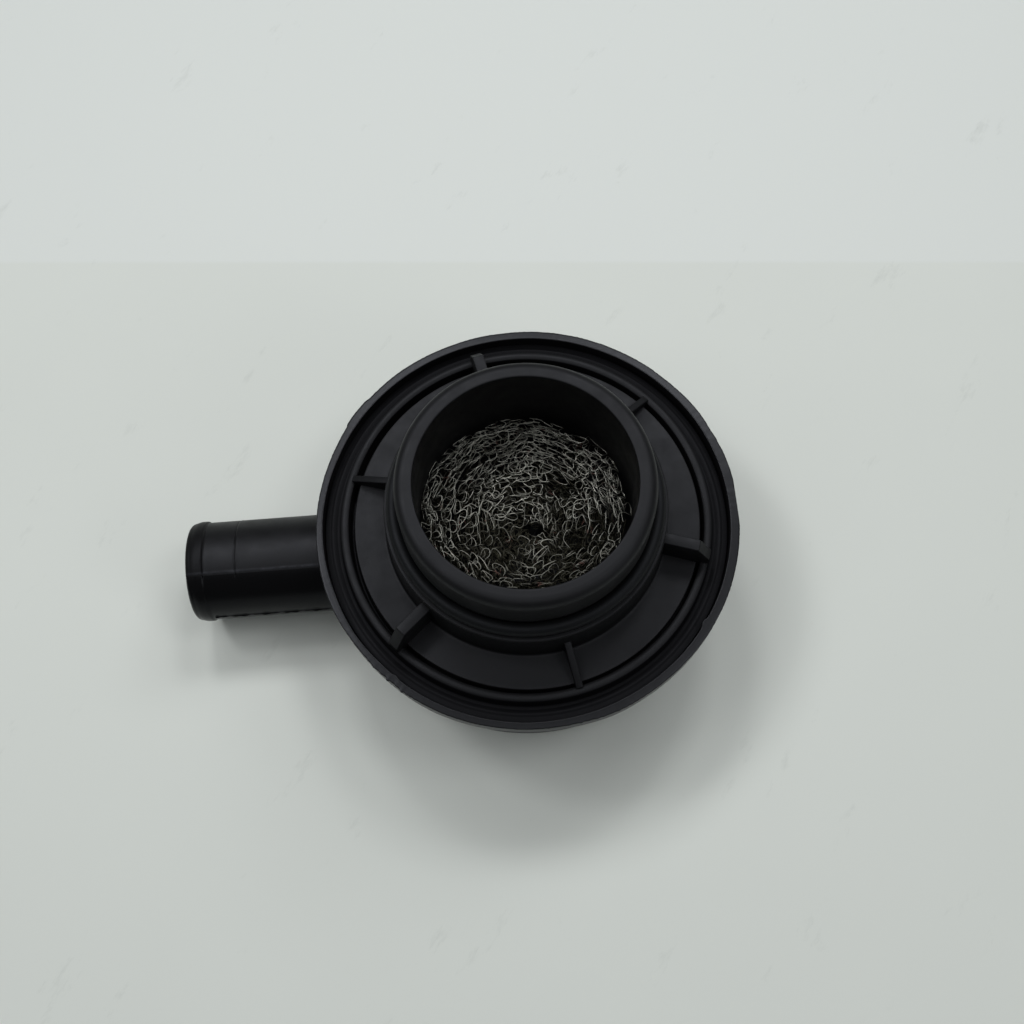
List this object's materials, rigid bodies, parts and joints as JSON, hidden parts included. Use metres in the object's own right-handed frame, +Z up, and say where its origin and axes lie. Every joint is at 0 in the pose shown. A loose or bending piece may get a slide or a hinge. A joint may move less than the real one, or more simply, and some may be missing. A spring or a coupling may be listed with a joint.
{
  "type": "crankcase breather",
  "caption": "Round moulded crankcase breather: plug-in neck with a seal ring and wire mesh roll, ribbed base plate, bowl-shaped cap and side hose spigot.",
  "frame": {"origin": "centre of the crown's flat outside face, on which the breather stands", "axes": "+Z up the neck's axis and out of its mouth, -X along the hose spigot and out of it, +Y to the side"},
  "size_m": [0.1388, 0.1042, 0.0637],
  "materials": {
    "cap_plastic": "black glass-filled nylon, satin as moulded",
    "plate_plastic": "black glass-filled nylon, satin as moulded",
    "seal_rubber": "black oil-resistant rubber, smooth",
    "mesh_wire": "fine drawn wire, knitted and wound, slightly dull",
    "grid_plastic": "black glass-filled nylon, satin as moulded"
  },
  "bodies": {
    "root": {"cap_housing": "cap_plastic", "base_plate": "plate_plastic", "neck_seal_ring": "seal_rubber", "wire_mesh_roll": "mesh_wire", "mesh_retaining_grid": "grid_plastic"}
  },
  "joints": []
}
